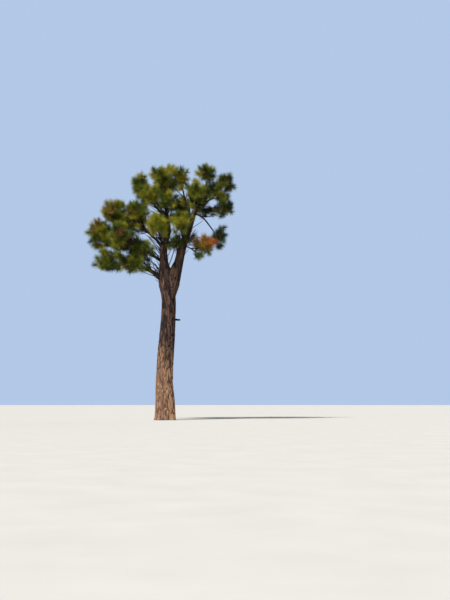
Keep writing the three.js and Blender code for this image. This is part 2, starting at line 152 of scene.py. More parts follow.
MASSES = [
    Mass("outer_low_left", (-1480, -130, 3775), (350, 330, 250), 5, 0.35,
         off_stem("trunk", 3180, (64, 4), 60)),
    Mass("low_left", (-800, -350, 3715), (400, 340, 245), 7, 0.35,
         off_bough("outer_low_left", 0.34, (20, -12), 26)),
    Mass("outer_left", (-1615, 0, 4480), (380, 390, 420), 3, 0.5,
         off_stem("trunk", 3800, (32, 14), 35)),
    Mass("mid_left", (-870, 420, 4290), (400, 370, 330), 4, 0.2,
         off_bough("outer_left", 0.34, (10, 6), 26)),
    Mass("left_front", (-1090, -600, 4400), (310, 300, 310), 28, 0.5,
         off_bough("outer_left", 0.5, (12, 8), 24)),
    Mass("back_low_left", (-1290, 980, 4480), (370, 370, 330), 18, 0.3,
         off_bough("outer_left", 0.66, (-4, 16), 26)),
    Mass("upper_left", (-1300, -120, 5030), (360, 380, 380), 18, 0.62,
         off_stem("trunk", 4130, (52, 22), 30)),
    Mass("left_shoulder", (-715, 20, 5050), (360, 350, 330), 15, 0.65,
         off_bough("upper_left", 0.42, (50, 72), 25)),
    Mass("back_left", (-1080, 880, 5020), (360, 350, 320), 12, 0.4,
         off_bough("upper_left", 0.3, (30, 24), 28)),
    Mass("centre_left", (-200, -600, 4600), (290, 300, 320), 28, 0.8,
         off_stem("trunk", 4180, (26, 40), 26)),
    Mass("back_centre", (-240, 1050, 5040), (330, 340, 310), 28, 0.35,
         off_stem("trunk", 4480, (34, 30), 32)),
    Mass("high_left", (-672, 0, 5740), (290, 310, 350), 22, 0.7,
         off_stem("trunk", 4860, (42, 56), 30)),
    Mass("left_heart", (-372, -420, 5370), (300, 300, 290), 26, 0.75,
         off_stem("trunk", 4960, (20, 42), 22)),
    Mass("heart", (70, -480, 5260), (300, 290, 280), 12, 0.5,
         off_stem("trunk", 5060, (8, 24), 21)),
    Mass("back_top", (-90, 620, 5860), (330, 330, 310), 3, 0.5,
         off_stem("trunk", 5220, (36, 48), 22)),
    Mass("top_left", (-140, -60, 5950), (350, 340, 300), 12, 0.95, crowning("trunk")),
    Mass("inner_left", (-550, -250, 4100), (330, 300, 300), 22, 0.35, beside("trunk", 3520, 46)),
    Mass("fork_spray", (215, -80, 4280), (220, 270, 250), 62, 0.3, beside("trunk", 3430, 72)),
    Mass("centre_right", (335, -520, 4680), (290, 300, 310), 16, 0.7,
         off_stem("right_leader", 4250, (30, 44), 25)),
    Mass("top_right", (335, 30, 5920), (265, 300, 330), 29, 0.7,
         off_stem("right_leader", 5130, (2, 82), 28)),
    Mass("back_mid", (310, 1080, 5420), (350, 370, 340), 10, 0.35,
         off_stem("right_leader", 4620, (42, 34), 30)),
    Mass("right_inner", (735, -420, 5470), (280, 290, 290), 6, 0.65,
         off_stem("right_leader", 5140, (20, 44), 21)),
    Mass("back_right", (760, 700, 5600), (340, 350, 320), 22, 0.4,
         off_stem("right_leader", 5000, (44, 32), 26)),
    Mass("right_top", (925, -10, 6050), (300, 290, 260), 9, 0.55, crowning("right_leader")),
    Mass("right_mid", (1180, 380, 5660), (270, 280, 270), 7, 0.25,
         off_stem("right_leader", 5330, (26, 28), 19)),
    Mass("right_outer_top", (1465, -20, 5790), (270, 280, 300), 20, 0.3,
         off_stem("right_leader", 5240, (4, 50), 24)),
    Mass("right_outer", (1380, 60, 5160), (330, 300, 240), 10, 0.15,
         off_stem("right_leader", 5060, (8, 2), 25)),
    Mass("right_low_outer", (1240, -20, 4440), (240, 260, 370), 9, 0.15,
         off_stem("right_leader", 4980, (-10, -50), 21)),
    Mass("right_low_inner", (905, -180, 4210), (300, 270, 290), 19, 0.5,
         off_stem("right_leader", 4330, (16, -16), 21)),
    Mass("low_spray", (765, -200, 3955), (150, 160, 150), 66, 0.5,
         off_stem("right_leader", 4200, (-20, -42), 15)),
]

# Boughs: the radius at the tip, the shares of the span that the ends of the curve run straight for, and how
# far the tip is from the heart of its mass, as a share of the mass's reach. The collar swells a bough near
# its root by a share for each metre of its radius there, and fades over so many radii.
BOUGH = {"tip": 15, "first_reach": 0.4, "last_reach": 0.35, "entry": 0.62}
COLLAR = {"swell": 16, "length": 3}

# Twigs: radii at root and tip, and the stretches of a twig. Later twigs may leave each stretch at the forks,
# which are scattered a little, and prefer the place nearest to the shortest twig. The ends of a twig's curve
# run straight for the pull, a share of its span.
STEM = {"root": 13, "tip": 8, "stretches": 3}
TWIG = {"root": 7, "tip": 5.5, "stretches": 1}
FINE_TWIG = {"root": 4.5, "tip": 3.5, "stretches": 1}
BARE_TWIG = {"root": 13, "tip": 5, "stretches": 1}
FORKS = (0.25, 0.5, 0.75)
FORK_SCATTER = 0.1
SHORTEST_TWIG = 120
PULL = 0.35

# Each twig runs on through its brush to a bud, which it narrows to, and ends in a point.
TWIG_TUBE = {"sides": 6, "rings": 7, "bud": 35, "bud_share": 0.6, "point": 6}

# Fine twigs: the shares of their twig that they leave at, the shortest and the longest, how far they lean
# from it, how much their brushes are lifted, and how far apart those are.
FINE_TWIGS = {
    "forks": (0.2, 0.36, 0.52, 0.68, 0.84),
    "length": (110, 210),
    "lean": math.radians(56),
    "lift": 0.5,
    "apart": 95,
}

# Side twigs, each with a brush: how far apart they leave, the shortest and the longest, how much their
# brushes are turned along the limb and lifted, the shares of a bough that they start at, by its radius, and
# end at, and the heights that they start at on the stems, with their tone there.
SIDE_TWIGS = {
    "spacing": 62,
    "length": (120, 270),
    "along": 0.5,
    "lift": 0.3,
    "first": {"thin": 0.12, "thick": 0.34},
    "thin": 26,
    "last": 0.98,
    "stems": [("trunk", 3900), ("right_leader", 4300)],
    "stem_tone": 0.45,
}

# Bare twigs inside the crown: how far apart they leave, the shortest and the longest, how far they lean from
# their limb, how much they are lifted, the shares of a bough and the heights of the stems that bear them,
# and the shares of a twig that are kept out of the windows.
BARE_TWIGS = {
    "spacing": 50,
    "length": (180, 460),
    "lean": math.radians(32),
    "lift": 0.2,
    "stretch": (0.05, 0.6),
    "stems": [("trunk", 3200, 4900), ("right_leader", 3700, 5100)],
    "watched": (0.4, 0.7, 1.0),
}

# How many shares a limb is followed at, its length is measured at and a straight rod is tried at, and how far
# from a share the way of a path is read.
LIMB_SAMPLES = 24
LENGTH_SAMPLES = 60
ROD_SAMPLES = 9
AHEAD = 0.01

# Sprays of twigs: the stretch of the limb that they leave, how many, the headings, climbs and lengths that
# they have, and their tone. The live ones bear brushes where the photo shows foliage between or beyond the
# others. The two dead ones fan out to the left of the trunk, dark, and right of the fork, grey. All are
# lifted a little.
Spray = namedtuple("Spray", "limb stretch count heading climb length tone")
# As for masses, a spray's tone is partly painted light: yellower at the lit top, and darker at the right and
# low down as painted shade.
LIVE_SPRAYS = [
    Spray("outer_low_left", (0.5, 1.0), 16, (100, 260), (35, 75), (120, 290), 0.28),
    Spray("outer_low_left", (0.9, 1.0), 5, (160, 210), (30, 50), (360, 470), 0.3),
    Spray("outer_low_left", (0.75, 1.0), 4, (150, 210), (-35, -15), (180, 280), 0.3),
    Spray("outer_left", (0.85, 1.0), 5, (160, 200), (25, 45), (380, 480), 0.4),
    Spray("upper_left", (0.9, 1.0), 4, (120, 200), (50, 75), (300, 380), 0.6),
    Spray("left_shoulder", (0.7, 1.0), 8, (165, 200), (38, 60), (380, 520), 0.6),
    Spray("high_left", (0.6, 0.9), 4, (150, 210), (-30, 10), (150, 250), 0.5),
    Spray("trunk", (0.98, 1.0), 6, (-60, 40), (60, 82), (540, 640), 1.0),
    Spray("right_leader", (0.80, 0.92), 5, (150, 210), (40, 65), (300, 420), 0.4),
    Spray("right_outer_top", (0.8, 1.0), 4, (60, 200), (60, 80), (200, 290), 0.3),
    Spray("right_outer", (0.2, 0.6), 6, (-60, 60), (-30, 10), (110, 200), 0.15),
    Spray("right_outer", (0.8, 1.0), 6, (-15, 20), (22, 45), (380, 470), 0.15),
]
# The dark spray is drawn in the boughs' bark, whose darkness is painted shade.
DARK_SPRAY = Spray("trunk", (0.5, 0.73), 34, (150, 215), (26, 55), (220, 560), None)
GREY_SPRAY = Spray("right_low_inner", (0.0, 0.35), 9, (-40, 20), (0, 46), (200, 360), None)
SPRAY_LIFT = 0.15

# Brushes: how far each is kept inside its mass's reach, the shares of that shell that it is at, from the
# least on by a range, how far the middle of its core is behind its place, how far apart two are, and how
# many places are tried. The first is tried along the arrival with some lift, and an axis is part of the way
# out and part of the way up. The core's rings are a distance along it and a radius each. Twigs keep the gaps
# to other spaces and to wood. Each brush has a seed of its own, up to a highest one.
BRUSH_REACH = 110
BRUSH_SHELL = (0.7, 0.35)
BRUSH_AHEAD = 40
BRUSH_SPACING = 180
BRUSH_TRIES = 60
ARRIVAL_LIFT = 0.7
AXIS = {"out": 0.8, "up": 0.5}
CORE = ((-60, 8), (-22, 43), (26, 39), (60, 0))
SPACE_GAP = 3
WOOD_GAP = 3
HIGHEST_SEED = 1e6

# The seeded numbers of the source's rule, and the seed of the numbers for all that is finer here.
STATES = 2**32
SEED_FACTOR = 2654435761
STEP_FACTOR = 1664525
STEP = 1013904223
FINER_SEED = 7

# Needles grow in bundles on the last stretch of their twig, and point all round it, but never straight back.
# The cosine of their lean from its way goes evenly from one value at the back of the brush to one at its
# front, and is scattered down to a least one. Bundles, and needles in them, vary in length by shares. A
# piece has only so many needles.
NEEDLES = {
    "in_bundle": 3,
    "bundle_spread": 5,
    "back_cosine": -0.35,
    "front_cosine": 1.0,
    "scatter": 0.12,
    "least_cosine": -0.6,
    "radius": 2.3,
    "bundle_shares": (0.8, 1.08),
    "needle_shares": (0.9, 1.0),
}
MOST_NEEDLES = 45000
# The needles of a brush and of a finer twig's brush: how many bundles, how long, and along how much of the
# twig they grow, up to how far ahead of the brush's place.
BRUSH = {"bundles": 115, "length": 168, "along": 95, "ahead": 10}
FINE_BRUSH = {"bundles": 70, "length": 146, "along": 75, "ahead": 5}

# Needles are dealt out by bundle to plain colours, along five tones from deep green to yellow green. The
# tone of a mass is scattered from brush to brush, rises from the back of a brush to its front, as painted
# shade at the inner back and painted sunlight at the outer front, and is scattered from bundle to bundle.
# Some of the oldest bundles at the back are straw.
TONES = ["deep", "shade", "green", "olive", "bright"]
TONE = {"brush_scatter": 0.28, "rise": 0.4, "scatter": 0.1}
OLD = {"colour": "straw", "back": 0.25, "share": 0.2}

# Windows where the sky shows through the crown from the front: the middle of each in the plane y = 0, and
# half its width and height. The brushes of finer twigs keep out of all of them, and bare twigs out of the
# clear ones.
CLEAR_WINDOWS = [
    (136, 3916, 87, 210),
    (-449, 5085, 60, 85),
    (1095, 5284, 123, 88),
    (875, 4660, 300, 205),
    (-108, 4975, 45, 85),
    (-400, 5850, 60, 75),
    (625, 6066, 50, 165),
    (1241, 6002, 25, 101),
    (555, 4002, 92, 148),
]
CROSSED_WINDOWS = [
    (66, 3497, 37, 61),
    (-370, 4160, 95, 80),
    (-550, 4430, 110, 100),
    (-209, 4374, 50, 55),
    (192, 5430, 60, 80),
    (91, 4740, 40, 130),
]
WINDOW_MARGIN = 60

# Dying foliage: the middle of each patch in the plane y = 0, how far it reaches, its colour, and the share
# of the bundles there that have it.
DYING = [
    ((1036, 4274), 105, "rust", 0.9),
    ((828, 4349), 130, "straw", 0.9),
    ((-1190, 4535), 130, "copper", 0.38),
    ((-878, 6002), 110, "copper", 0.35),
    ((-1420, 5120), 150, "straw", 0.35),
    ((-1740, 4720), 150, "straw", 0.42),
    ((-850, 5040), 120, "straw", 0.35),
    ((-560, 4560), 110, "straw", 0.3),
    ((360, 5890), 100, "straw", 0.25),
]

# Dead wood: where it leaves its stem, which way it points, its length from the stem's middle line, and its
# radii.
STUB = {"stem": "trunk", "height": 2400, "heading": 4, "climb": -2, "length": 290, "radii": (34, 20)}
SPIKE = {"stem": "right_leader", "height": 4560, "heading": -8, "climb": 34, "length": 400, "radii": (9, 5)}


def unit(ways):
    """Each way divided by its length."""
    return ways / np.linalg.norm(ways, axis=-1, keepdims=True)


def climbing(level, climb):
    """A level way, lifted by an angle: level * cos + up * sin."""
    return level * math.cos(climb) + UP * math.sin(climb)


def direction(heading, climb):
    """The way that points along a heading, an angle from +X, and climbs by another, both in degrees."""
    heading, climb = math.radians(heading), math.radians(climb)
    return climbing(np.array([math.cos(heading), math.sin(heading), 0]), climb)


def even_angles(count):
    """So many angles all round, from 0 on."""
    return np.linspace(0, 2 * math.pi, count, endpoint=False)


def turned(first, second, angles):
    """Ways all round from two that are square to each other: first * cos + second * sin."""
    return first * np.cos(angles) + second * np.sin(angles)


def square_to(ways):
    """A direction square to each way, and level unless the way is steep."""
    steep = np.abs(unit(ways)[..., 2:]) >= STEEP
    return unit(np.cross(ways, np.where(steep, TO_BACK, UP)))


# Paths of the limbs. A limb has a function from shares of its path to points and one to radii, in metres, and
# the direction square to the plane that it bends in. A stem also has a function from heights to shares.
Limb = namedtuple("Limb", "points radii side share_at", defaults=[None])


def point_at(limb, share):
    """The point of a limb at one share of its path."""
    return limb.points(np.array([share]))[0]


def stem_through(stations):
    """A trunk or leader. Each stretch is a cubic from one station to the next whose ends run along the line
    between that end's two neighbours; the radius goes evenly from station to station."""
    heights, rightward, backward, radii = np.array(stations, float).T * MM
    through = np.stack([rightward, backward, heights], -1)
    last = len(through) - 1
    padded = np.vstack([2 * through[0] - through[1], through, 2 * through[-1] - through[-2]])

    def points(shares):
        at = np.clip((shares * last).astype(int), 0, last - 1)
        part = (shares * last - at)[:, None]
        before, start, end, after = (padded[at + step] for step in range(4))
        leaving = 0.5 * (end - before)
        arriving = 0.5 * (after - start)
        squared = 3 * (end - start) - 2 * leaving - arriving
        cubed = 2 * (start - end) + leaving + arriving
        return start + leaving * part + squared * part**2 + cubed * part**3

    evenly = np.linspace(0, 1, last + 1)
    return Limb(
        points,
        radii=lambda shares: np.interp(shares, evenly, radii),
        side=TO_BACK,
        share_at=lambda height: np.interp(height * MM, heights, evenly),
    )


def cubic(root, first, last, tip):
    """A function from shares to points on the cubic curve with four control points."""

    def points(shares):
        s = np.asarray(shares)[:, None]
        return (1 - s) ** 3 * root + 3 * (1 - s) ** 2 * s * first + 3 * (1 - s) * s**2 * last + s**3 * tip

    return points


def reach_along(mass, way):
    """How far a mass reaches from its heart in one direction: the radius of its ellipsoid."""
    return 1 / np.linalg.norm(way / (np.array(mass.reach) * MM))


def bough_to(mass, parent):
    """One cubic curve in the upright plane from the parent to the edge of the mass."""
    share = mass.bough.share or parent.share_at(mass.bough.height)
    heart = np.array(mass.heart) * MM
    root = point_at(parent, share)
    heading = unit((heart - root) * [1, 1, 0])
    first, last = (climbing(heading, math.radians(angle)) for angle in mass.bough.climb)
    tip = heart - last * BOUGH["entry"] * reach_along(mass, last)
    span = np.linalg.norm(tip - root)
    after_root = root + first * span * BOUGH["first_reach"]
    before_tip = tip - last * span * BOUGH["last_reach"]
    return Limb(
        cubic(root, after_root, before_tip, tip),
        radii=lambda shares: MM * (mass.bough.radius + (BOUGH["tip"] - mass.bough.radius) * shares),
        side=np.cross(heading, UP),
    )


def dead_piece(form, stem):
    """A straight piece of dead wood from the middle line of its stem."""
    root = point_at(stem, stem.share_at(form["height"]))
    way = direction(form["heading"], form["climb"])
    thick, thin = form["radii"]
    return Limb(
        points=lambda shares: root + np.asarray(shares)[:, None] * way * form["length"] * MM,
        radii=lambda shares: MM * (thick + (thin - thick) * shares),
        side=unit(np.cross(way, UP)),
    )


def limbs_of_tree():
    """Every limb by name: the two stems, then a bough to each mass that has one, then the dead wood."""
    limbs = {"trunk": stem_through(TRUNK), "right_leader": stem_through(RIGHT_LEADER)}
    for mass in MASSES:
        if mass.bough.radius:
            limbs[mass.name] = bough_to(mass, limbs[mass.bough.parent])
    limbs["dead_stub"] = dead_piece(STUB, limbs[STUB["stem"]])
    limbs["bare_twig"] = dead_piece(SPIKE, limbs[SPIKE["stem"]])
    return limbs


def ways_along(points):
    """The way that a path runs at each of its points: the step from the point before to the point after."""
    return unit(np.gradient(points, axis=0))


# The rule that twigs and brushes grow by.
Brush = namedtuple("Brush", "place axis seed")
Shoot = namedtuple("Shoot", "path form brush")


def seeded(seed):
    """Numbers from 0 to 1: each state is the last times a factor plus a step, and the number is its share of
    all states."""
    state = seed * SEED_FACTOR % STATES
    while True:
        state = (state * STEP_FACTOR + STEP) % STATES
        yield state / STATES


def brushes_of(mass, arrival):
    """Places tried evenly all round the heart by the golden angle, the first one straight on from the
    bough's tip, and kept where they are far enough from those before."""
    numbers = seeded(mass.seed)
    out = unit(arrival + UP * ARRIVAL_LIFT)
    sideways = unit(np.cross(out, UP))
    across = np.cross(sideways, out)
    shell = np.maximum(np.array(mass.reach) - BRUSH_REACH, 0) * MM
    least, more = BRUSH_SHELL
    turn = next(numbers) * 2 * math.pi
    brushes = []
    for k in range(BRUSH_TRIES):
        rise = 1 - 2 * k / BRUSH_TRIES
        angle = turn + k * GOLDEN_ANGLE
        flat = math.sqrt(1 - rise * rise)
        way = out * rise + flat * (sideways * math.cos(angle) + across * math.sin(angle))
        place = np.array(mass.heart) * MM + shell * way * (least + more * next(numbers))
        if all(np.linalg.norm(other.place - place) > BRUSH_SPACING * MM for other in brushes):
            axis = unit(way * AXIS["out"] + UP * AXIS["up"])
            brushes.append(Brush(place, axis, 1 + int(next(numbers) * HIGHEST_SEED)))
    return brushes


def space_of(mass):
    """Half-spaces that keep a mass clear of the others: the direction of each plane between two hearts, and
    how far along it the plane is, by how far both masses reach."""
    heart = np.array(mass.heart) * MM
    others = [other for other in MASSES if other is not mass]
    apart = np.array([other.heart for other in others]) * MM - heart
    ways = unit(apart)
    own = np.array([reach_along(mass, way) for way in ways])
    theirs = np.array([reach_along(other, way) for other, way in zip(others, ways)])
    edges = ways @ heart + np.linalg.norm(apart, axis=1) * own / (own + theirs) - SPACE_GAP * MM
    return ways, edges


def inside(space, points):
    """Whether every point is on the near side of every plane."""
    ways, edges = space
    return bool((points @ ways.T < edges).all())


def track_of(points, radii):
    """The straight runs of a path: their starts, ends, and the larger radius of each."""
    return points[:-1], points[1:], np.maximum(radii[:-1], radii[1:])


def clear_of(tracks, start, end, radius):
    """Whether a straight rod keeps its distance from every run: even points along the rod are each measured
    to the nearest point of each run."""
    rod = (start + (end - start) * np.linspace(0, 1, ROD_SAMPLES)[:, None])[:, None]
    for starts, ends, radii in tracks:
        runs = ends - starts
        share = np.clip(((rod - starts) * runs).sum(-1) / (runs**2).sum(-1), 0, 1)
        gaps = np.linalg.norm(rod - starts - runs * share[..., None], axis=-1)
        if (gaps < radii + radius + WOOD_GAP * MM).any():
            return False
    return True


def shoot_to(root, leaving, brush, form):
    """A twig that leaves its root in one direction and arrives along its brush's axis, on a cubic curve."""
    foot = brush.place + brush.axis * (CORE[0][0] - BRUSH_AHEAD) * MM
    pull = PULL * np.linalg.norm(foot - root)
    return Shoot(cubic(root, root + leaving * pull, foot - brush.axis * pull, foot), form, brush)


def places_of(shoot):
    """The places of a shoot and the radius at each: even ones along its twig, then its core's rings."""
    stretches = shoot.form["stretches"]
    twig = shoot.path(np.linspace(0, 1, stretches + 1))[:-1]
    radii = np.linspace(shoot.form["root"], shoot.form["tip"], stretches + 1)[:-1]
    ahead, core_radii = np.array(CORE).T
    middle = shoot.brush.place - shoot.brush.axis * BRUSH_AHEAD * MM
    core = middle + shoot.brush.axis * ahead[:, None] * MM
    return np.vstack([twig, core]), np.concatenate([radii, core_radii]) * MM


def fits(shoot, space, limb_tracks, other_tracks):
    """Whether a shoot stays in its space, off the limbs, and off other shoots from the middle of its first
    run on."""
    points, radii = places_of(shoot)
    if not inside(space, points):
        return False
    starts, ends, thick = track_of(points, radii)
    freed = starts.copy()
    freed[0] = (starts[0] + ends[0]) / 2
    return all(
        clear_of(limb_tracks, start, end, radius) and clear_of(other_tracks, free, end, radius)
        for start, free, end, radius in zip(starts, freed, ends, thick)
    )


def start_of(mass, limbs):
    """Where the stem of a mass starts and which way it leaves: straight on from the tip of its limb, or from
    the middle line of its parent up towards its heart."""
    if mass.bough.height and not mass.bough.radius:
        parent = limbs[mass.bough.parent]
        start = point_at(parent, parent.share_at(mass.bough.height))
        heading = unit((np.array(mass.heart) * MM - start) * [1, 1, 0])
        return start, climbing(heading, math.radians(mass.bough.climb))
    limb = limbs[mass.name if mass.bough.radius else mass.bough.parent]
    before, tip = limb.points(np.array([1 - AHEAD, 1]))
    return tip, unit(tip - before)


def shoots_of(mass, start, arrival, space, limb_tracks):
    """The shoots of a mass. The first is its stem, and each later twig leaves the nearest of the ones before
    it that it can reach its place from. A brush that none can reach is left out."""
    first, *later = brushes_of(mass, arrival)
    shoots = [shoot_to(start, arrival, first, STEM)]
    for brush in later:
        scatter = FORK_SCATTER * (2 * next(seeded(brush.seed)) - 1)
        roots = np.vstack([
            shoot.path((stretch + np.array(FORKS) + scatter) / shoot.form["stretches"])
            for shoot in shoots
            for stretch in range(shoot.form["stretches"])
        ])
        far = np.abs(np.linalg.norm(roots - brush.place, axis=1) - SHORTEST_TWIG * MM)
        others = [track_of(*places_of(shoot)) for shoot in shoots]
        for root in roots[np.argsort(far)]:
            candidate = shoot_to(root, unit(brush.place - root), brush, TWIG)
            if fits(candidate, space, limb_tracks, others):
                shoots.append(candidate)
                break
    return shoots


def from_the_front(place):
    """Where the line from the camera through a place crosses the plane y = 0: x and z, in millimetres."""
    eye = np.array(EYE)
    return (eye + (place - eye) * eye[1] / (eye[1] - place[1]))[[0, 2]] / MM


def blocks_window(place, windows, margin):
    """Whether a place is seen in one of the windows, or nearer to it than a margin."""
    x, z = from_the_front(place)
    return any(
        math.hypot((x - middle_x) / (half_width + margin), (z - middle_z) / (half_height + margin)) < 1
        for middle_x, middle_z, half_width, half_height in windows
    )


def has_room(place, others, limb_tracks):
    """Whether a finer twig's brush has room: apart from the others, off the limbs, out of the windows."""
    gaps = np.linalg.norm(np.array([other.brush.place for other in others]) - place, axis=1)
    return (
        (gaps > FINE_TWIGS["apart"] * MM).all()
        and not blocks_window(place, CLEAR_WINDOWS + CROSSED_WINDOWS, WINDOW_MARGIN)
        and clear_of(limb_tracks, place, place, CORE[1][1] * MM)
    )


def places_on(path, shares):
    """The places on a path at some shares, and the way that it runs at each."""
    places = path(shares)
    return places, unit(path(shares + AHEAD) - places)


def steps_along(limb, first, last, spacing):
    """The places at even steps along a limb between two shares of it, and the way that it runs at each."""
    path = limb.points(np.linspace(first, last, LENGTH_SAMPLES))
    length = np.linalg.norm(np.diff(path, axis=0), axis=1).sum() / MM
    return places_on(limb.points, np.linspace(first, last, max(2, int(length / spacing))))


def leaning_off(ways, lean, numbers):
    """Ways that lean off others by one angle, each turned on by the golden angle from the one before."""
    sideways = unit(np.cross(ways, UP))
    across = np.cross(ways, sideways)
    angles = (numbers.uniform(0, 2 * math.pi) + np.arange(len(ways)) * GOLDEN_ANGLE)[:, None]
    return ways * math.cos(lean) + turned(sideways, across, angles) * math.sin(lean)


def finer_shoot(root, leaving, lift, length, form, numbers):
    """A finer twig whose brush is lifted from the way that it leaves."""
    axis = unit(leaving + lift)
    place = root + unit(leaving + axis) * numbers.uniform(*length) * MM
    return shoot_to(root, leaving, Brush(place, axis, None), form)


def fine_shoots_of(mass, shoots, space, limb_tracks, numbers):
    """Fine twigs carried on from the others by the same rule, kept where their brushes have room within
    their mass's reach and space."""
    fine = []
    lift = UP * FINE_TWIGS["lift"]
    for shoot in shoots:
        roots, ways = places_on(shoot.path, np.array(FINE_TWIGS["forks"]))
        for root, leaving in zip(roots, leaning_off(ways, FINE_TWIGS["lean"], numbers)):
            candidate = finer_shoot(root, leaving, lift, FINE_TWIGS["length"], FINE_TWIG, numbers)
            place = candidate.brush.place
            near = np.linalg.norm((place / MM - mass.heart) / mass.reach) < 1
            if near and inside(space, place[None]) and has_room(place, shoots + fine, limb_tracks):
                fine.append(candidate)
    return fine


def side_shoots_of(limb, first, others, limb_tracks, numbers):
    """Side twigs at even steps along a limb from one share of it, kept where their brushes have room."""
    bearing = []
    roots, ways = steps_along(limb, first, SIDE_TWIGS["last"], SIDE_TWIGS["spacing"])
    for root, way, leaving in zip(roots, ways, leaning_off(ways, FINE_TWIGS["lean"], numbers)):
        lift = way * SIDE_TWIGS["along"] + UP * SIDE_TWIGS["lift"]
        candidate = finer_shoot(root, leaving, lift, SIDE_TWIGS["length"], FINE_TWIG, numbers)
        if has_room(candidate.brush.place, others + bearing, limb_tracks):
            bearing.append(candidate)
    return bearing


def bare_shoots_of(limb, first, last, numbers):
    """Bare twigs at even steps between two shares of a limb, out of the clear windows."""
    bare = []
    lift = UP * BARE_TWIGS["lift"]
    roots, ways = steps_along(limb, first, last, BARE_TWIGS["spacing"])
    for root, leaving in zip(roots, leaning_off(ways, BARE_TWIGS["lean"], numbers)):
        candidate = finer_shoot(root, leaving, lift, BARE_TWIGS["length"], BARE_TWIG, numbers)
        watched = candidate.path(np.array(BARE_TWIGS["watched"]))
        if not any(blocks_window(place, CLEAR_WINDOWS, 0) for place in watched):
            bare.append(candidate)
    return bare


def spray_of(form, twig, limbs, numbers):
    """A spray of twigs of one form from one stretch of a limb."""
    spray = []
    for root in limbs[form.limb].points(numbers.uniform(*form.stretch, form.count)):
        leaving = direction(numbers.uniform(*form.heading), numbers.uniform(*form.climb))
        spray.append(finer_shoot(root, leaving, UP * SPRAY_LIFT, form.length, twig, numbers))
    return spray


# Noise for bark, worked out on whole arrays of points, from large odd factors and sums of 32 bits.
CELL_FACTORS = np.array([374761393, 668265263, 1440662683])
STIR_FACTOR = 1274126177
ALL_BITS = 2**32 - 1


def lattice(cells, salt):
    """One number from 0 to 1 for each whole-number cell: its coordinates times factors are added, and the
    bits of the sum are stirred."""
    mixed = ((cells.astype(np.int64) * CELL_FACTORS).sum(-1) + salt * STIR_FACTOR) & ALL_BITS
    mixed = ((mixed ^ (mixed >> 13)) * STIR_FACTOR) & ALL_BITS
    return (mixed ^ (mixed >> 16)) / ALL_BITS


def smooth_noise(points, salt):
    """The numbers of the eight corners of each point's cell, blended by a smooth step in each direction."""
    low = np.floor(points)
    part = points - low
    part = part * part * (3 - 2 * part)
    total = 0
    for corner in np.ndindex(2, 2, 2):
        weights = np.where(np.array(corner) == 1, part, 1 - part).prod(-1)
        total = total + weights * lattice(low + corner, salt)
    return total


def cell_edges(points, salt):
    """How far each point is from the border between cells: the distance to the second nearest of one
    scattered seed a cell, less the distance to the nearest."""
    low = np.floor(points)
    nearest = np.full(points.shape[:-1], math.inf)
    second = nearest
    for step in np.ndindex(3, 3, 3):
        cell = low + np.array(step) - 1
        seeds = cell + np.stack([lattice(cell, salt + axis) for axis in range(3)], -1)
        far = np.linalg.norm(points - seeds, axis=-1)
        second = np.minimum(second, np.maximum(nearest, far))
        nearest = np.minimum(nearest, far)
    return second - nearest


def smooth_step(low, high, values):
    """0 below low, 1 above high, and a smooth cubic between."""
    part = np.clip((values - low) / (high - low), 0, 1)
    return part * part * (3 - 2 * part)


# Meshes from arrays.
def placed(name, data):
    """An object of the scene."""
    made = bpy.data.objects.new(name, data)
    bpy.context.scene.collection.objects.link(made)
    return made


def piece_of(name, points, faces, material, smooth=False, **attributes):
    """A mesh object from an array of points and arrays of faces, each array holding faces with one number of
    corners. Every attribute is one number a point."""
    corners = np.concatenate([group.ravel() for group in faces]).astype(np.int32)
    sizes = np.concatenate([np.full(len(group), group.shape[1]) for group in faces])
    mesh = bpy.data.meshes.new(name)
    mesh.vertices.add(len(points))
    mesh.vertices.foreach_set("co", np.ascontiguousarray(points, np.float32).ravel())
    mesh.loops.add(len(corners))
    mesh.loops.foreach_set("vertex_index", corners)
    mesh.polygons.add(len(sizes))
    mesh.polygons.foreach_set("loop_start", (np.cumsum(sizes) - sizes).astype(np.int32))
    mesh.polygons.foreach_set("use_smooth", np.full(len(sizes), smooth))
    mesh.update(calc_edges=True)
    for label, values in attributes.items():
        own = mesh.attributes.new(label, "FLOAT", "POINT")
        own.data.foreach_set("value", np.asarray(values, np.float32).ravel())
    mesh.materials.append(material)
    piece = placed(name, mesh)
    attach(piece, "root")
    return piece


def rings_round(points, radii, side):
    """Rings of corners round a path, square to it: middle + level * r * cos + square * r * sin, where square
    is the side crossed with the way and r is the radius of that corner. Returns rings, corners and
    coordinates."""
    ways = ways_along(points)
    square = unit(np.cross(side, ways))
    level = np.cross(ways, square)
    around = turned(level[:, None], square[:, None], even_angles(radii.shape[1])[None, :, None])
    return points[:, None] + radii[..., None] * around


def tube_faces(rings, sides, first):
    """Quads between the rings of a closed tube, and triangles from its end rings to the two poles that
    follow its last ring, all facing outwards. The first corner's number is given."""
    ring, corner = np.meshgrid(np.arange(rings - 1), np.arange(sides), indexing="ij")
    following = (corner + 1) % sides
    here, above = first + ring * sides, first + (ring + 1) * sides
    quads = np.stack([here + corner, here + following, above + following, above + corner], -1).reshape(-1, 4)
    around = np.arange(sides)
    ahead = (around + 1) % sides
    foot_pole = first + rings * sides
    foot = np.stack([first + ahead, first + around, np.full(sides, foot_pole)], -1)
    top = first + (rings - 1) * sides
    tip = np.stack([top + around, top + ahead, np.full(sides, foot_pole + 1)], -1)
    return quads, np.vstack([foot, tip])


def tubes_piece(name, tubes, material, **attributes):
    """One piece of closed tubes, each with its rings of corners and the poles at its foot and its tip."""
    corners, quads, triangles = [], [], []
    first = 0
    for rings, foot, tip in tubes:
        around, ends = tube_faces(*rings.shape[:2], first)
        corners.append(np.vstack([rings.reshape(-1, 3), foot, tip]))
        quads.append(around)
        triangles.append(ends)
        first += len(corners[-1])
    faces = [np.vstack(quads), np.vstack(triangles)]
    piece = piece_of(name, np.vstack(corners), faces, material, smooth=True, **attributes)
    return piece


